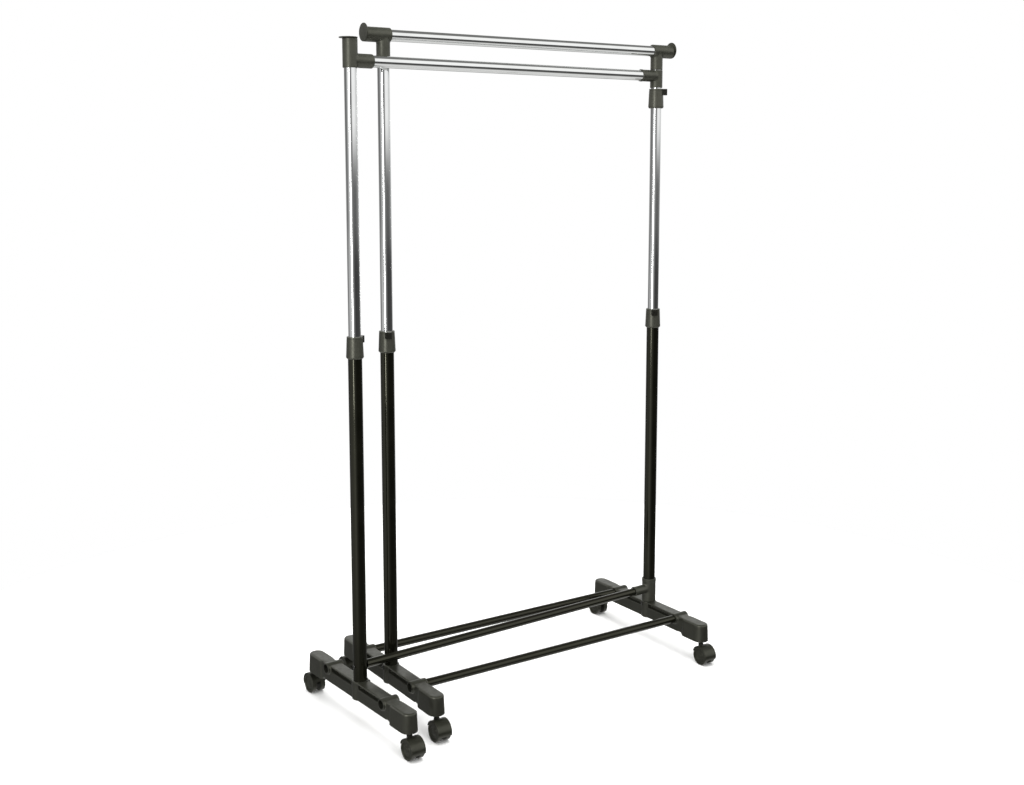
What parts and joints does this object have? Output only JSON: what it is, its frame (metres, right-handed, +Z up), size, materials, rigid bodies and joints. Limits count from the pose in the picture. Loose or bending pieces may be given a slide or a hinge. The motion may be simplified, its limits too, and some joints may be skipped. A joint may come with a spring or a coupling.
{
  "type": "rolling clothes rack",
  "caption": "Rolling clothes rack on castors with telescopic chrome posts, a fixed upper rail and a longer lower rail on a frame that swings out round one post.",
  "frame": {"origin": "centre of the bounding box on the floor plane", "axes": "+Z up, +X along the rails towards the pivot post, -Y the front, towards which the swing arm opens"},
  "size_m": [0.987, 0.5504, 1.6045],
  "materials": {
    "foot_plastic": "moulded charcoal grey plastic, satin",
    "lower_post_paint": "gloss black paint on steel tube",
    "bar_paint": "gloss black paint on steel tube",
    "upper_post_chrome": "bright chrome plated tube",
    "rail_chrome": "bright chrome plated tube",
    "tee_plastic": "moulded charcoal grey plastic, satin",
    "pivot_plastic": "moulded charcoal grey plastic, satin",
    "cap_plastic": "moulded charcoal grey plastic, satin",
    "collar_plastic": "moulded charcoal grey plastic, satin",
    "button_plastic": "black plastic",
    "hood_plastic": "dark grey plastic, slight sheen",
    "wheel_plastic": "hard dark grey plastic",
    "stem_steel": "blackened steel",
    "screw_steel": "blackened steel screw head"
  },
  "bodies": {
    "base_frame": {"inner_back_stem": "stem_steel", "inner_collar": "collar_plastic", "inner_foot": "foot_plastic", "inner_foot_screw": "screw_steel", "inner_front_stem": "stem_steel", "inner_lower_post": "lower_post_paint", "right_back_stem": "stem_steel", "right_collar": "collar_plastic", "right_foot": "foot_plastic", "right_foot_screw": "screw_steel", "right_front_stem": "stem_steel", "right_lower_post": "lower_post_paint", "shelf_bar_back": "bar_paint", "shelf_bar_front": "bar_paint"},
    "inner_gate": {"inner_end_cap": "cap_plastic", "inner_top_tee": "tee_plastic", "inner_upper_post": "upper_post_chrome", "right_end_cap": "cap_plastic", "right_top_tee": "tee_plastic", "right_upper_post": "upper_post_chrome", "stop_collar": "collar_plastic", "upper_rail": "rail_chrome"},
    "swing_arm": {"lower_pivot_tee": "pivot_plastic", "outer_back_stem": "stem_steel", "outer_collar": "collar_plastic", "outer_foot": "foot_plastic", "outer_foot_screw": "screw_steel", "outer_front_stem": "stem_steel", "outer_lower_post": "lower_post_paint", "swing_bar": "bar_paint", "swing_bar_screw": "screw_steel"},
    "swing_gate": {"lower_rail": "rail_chrome", "outer_end_cap": "cap_plastic", "outer_top_tee": "tee_plastic", "outer_upper_post": "upper_post_chrome", "upper_pivot_tee": "pivot_plastic"},
    "inner_back_hood": {"inner_back_hood": "hood_plastic"},
    "inner_back_wheel_a": {"inner_back_wheel_a": "wheel_plastic"},
    "inner_back_wheel_b": {"inner_back_wheel_b": "wheel_plastic"},
    "inner_collar_button": {"inner_collar_button": "button_plastic"},
    "inner_front_hood": {"inner_front_hood": "hood_plastic"},
    "inner_front_wheel_a": {"inner_front_wheel_a": "wheel_plastic"},
    "inner_front_wheel_b": {"inner_front_wheel_b": "wheel_plastic"},
    "outer_back_hood": {"outer_back_hood": "hood_plastic"},
    "outer_back_wheel_a": {"outer_back_wheel_a": "wheel_plastic"},
    "outer_back_wheel_b": {"outer_back_wheel_b": "wheel_plastic"},
    "outer_collar_button": {"outer_collar_button": "button_plastic"},
    "outer_front_hood": {"outer_front_hood": "hood_plastic"},
    "outer_front_wheel_a": {"outer_front_wheel_a": "wheel_plastic"},
    "outer_front_wheel_b": {"outer_front_wheel_b": "wheel_plastic"},
    "right_back_hood": {"right_back_hood": "hood_plastic"},
    "right_back_wheel_a": {"right_back_wheel_a": "wheel_plastic"},
    "right_back_wheel_b": {"right_back_wheel_b": "wheel_plastic"},
    "right_collar_button": {"right_collar_button": "button_plastic"},
    "right_front_hood": {"right_front_hood": "hood_plastic"},
    "right_front_wheel_a": {"right_front_wheel_a": "wheel_plastic"},
    "right_front_wheel_b": {"right_front_wheel_b": "wheel_plastic"},
    "stop_collar_button": {"stop_collar_button": "button_plastic"}
  },
  "joints": [
    {"name": "height_slide", "type": "slide", "parent": "base_frame", "child": "inner_gate", "axis": [0, 0, 1], "range_m": [-0.5, 0.03]},
    {"name": "arm_swing", "type": "hinge", "parent": "base_frame", "child": "swing_arm", "pos_m": [0.44321, 0.02292, 0.14], "axis": [0, 0, 1], "range_deg": [-0.7, 354.5]},
    {"name": "arm_height_slide", "type": "slide", "parent": "swing_arm", "child": "swing_gate", "axis": [0, 0, 1], "range_m": [-0.5, 0.03]},
    {"name": "inner_collar_press", "type": "slide", "parent": "base_frame", "child": "inner_collar_button", "axis": [-0.9397, 0.342, 0], "range_m": [0, 0.0024], "stiffness_N_per_m": 300},
    {"name": "right_collar_press", "type": "slide", "parent": "base_frame", "child": "right_collar_button", "axis": [-0.8746, 0.4848, 0], "range_m": [0, 0.0024], "stiffness_N_per_m": 300},
    {"name": "outer_collar_press", "type": "slide", "parent": "swing_arm", "child": "outer_collar_button", "axis": [0.4827, -0.8758, 0], "range_m": [0, 0.0024], "stiffness_N_per_m": 300},
    {"name": "stop_collar_press", "type": "slide", "parent": "inner_gate", "child": "stop_collar_button", "axis": [0.6157, 0.788, 0], "range_m": [0, 0.0024], "stiffness_N_per_m": 300},
    {"name": "inner_front_swivel", "type": "hinge", "parent": "base_frame", "child": "inner_front_hood", "pos_m": [-0.35679, -0.19009, 0.05], "axis": [0, 0, 1], "continuous": true},
    {"name": "inner_front_spin_a", "type": "hinge", "parent": "inner_front_hood", "child": "inner_front_wheel_a", "pos_m": [-0.35679, -0.20308, 0.0232], "axis": [1, 0, 0], "continuous": true},
    {"name": "inner_front_spin_b", "type": "hinge", "parent": "inner_front_hood", "child": "inner_front_wheel_b", "pos_m": [-0.35679, -0.20308, 0.0232], "axis": [1, 0, 0], "continuous": true},
    {"name": "inner_back_swivel", "type": "hinge", "parent": "base_frame", "child": "inner_back_hood", "pos_m": [-0.35679, 0.23592, 0.05], "axis": [0, 0, 1], "continuous": true},
    {"name": "inner_back_spin_a", "type": "hinge", "parent": "inner_back_hood", "child": "inner_back_wheel_a", "pos_m": [-0.35679, 0.24891, 0.0232], "axis": [1, 0, 0], "continuous": true},
    {"name": "inner_back_spin_b", "type": "hinge", "parent": "inner_back_hood", "child": "inner_back_wheel_b", "pos_m": [-0.35679, 0.24891, 0.0232], "axis": [1, 0, 0], "continuous": true},
    {"name": "right_front_swivel", "type": "hinge", "parent": "base_frame", "child": "right_front_hood", "pos_m": [0.44321, -0.19009, 0.05], "axis": [0, 0, 1], "continuous": true},
    {"name": "right_front_spin_a", "type": "hinge", "parent": "right_front_hood", "child": "right_front_wheel_a", "pos_m": [0.44321, -0.20308, 0.0232], "axis": [1, 0, 0], "continuous": true},
    {"name": "right_front_spin_b", "type": "hinge", "parent": "right_front_hood", "child": "right_front_wheel_b", "pos_m": [0.44321, -0.20308, 0.0232], "axis": [1, 0, 0], "continuous": true},
    {"name": "right_back_swivel", "type": "hinge", "parent": "base_frame", "child": "right_back_hood", "pos_m": [0.44321, 0.23592, 0.05], "axis": [0, 0, 1], "continuous": true},
    {"name": "right_back_spin_a", "type": "hinge", "parent": "right_back_hood", "child": "right_back_wheel_a", "pos_m": [0.44321, 0.24891, 0.0232], "axis": [1, 0, 0], "continuous": true},
    {"name": "right_back_spin_b", "type": "hinge", "parent": "right_back_hood", "child": "right_back_wheel_b", "pos_m": [0.44321, 0.24891, 0.0232], "axis": [1, 0, 0], "continuous": true},
    {"name": "outer_front_swivel", "type": "hinge", "parent": "swing_arm", "child": "outer_front_hood", "pos_m": [-0.45203, -0.23508, 0.05], "axis": [0, 0, 1], "continuous": true},
    {"name": "outer_front_spin_a", "type": "hinge", "parent": "outer_front_hood", "child": "outer_front_wheel_a", "pos_m": [-0.45138, -0.24806, 0.0232], "axis": [0.9988, 0.0499, 0], "continuous": true},
    {"name": "outer_front_spin_b", "type": "hinge", "parent": "outer_front_hood", "child": "outer_front_wheel_b", "pos_m": [-0.45138, -0.24806, 0.0232], "axis": [0.9988, 0.0499, 0], "continuous": true},
    {"name": "outer_back_swivel", "type": "hinge", "parent": "swing_arm", "child": "outer_back_hood", "pos_m": [-0.47329, 0.19039, 0.05], "axis": [0, 0, 1], "continuous": true},
    {"name": "outer_back_spin_a", "type": "hinge", "parent": "outer_back_hood", "child": "outer_back_wheel_a", "pos_m": [-0.47393, 0.20338, 0.0232], "axis": [0.9988, 0.0499, 0], "continuous": true},
    {"name": "outer_back_spin_b", "type": "hinge", "parent": "outer_back_hood", "child": "outer_back_wheel_b", "pos_m": [-0.47393, 0.20338, 0.0232], "axis": [0.9988, 0.0499, 0], "continuous": true}
  ],
  "couplings": [
    {"joint": "arm_height_slide", "follows": "height_slide", "ratio": 1}
  ]
}
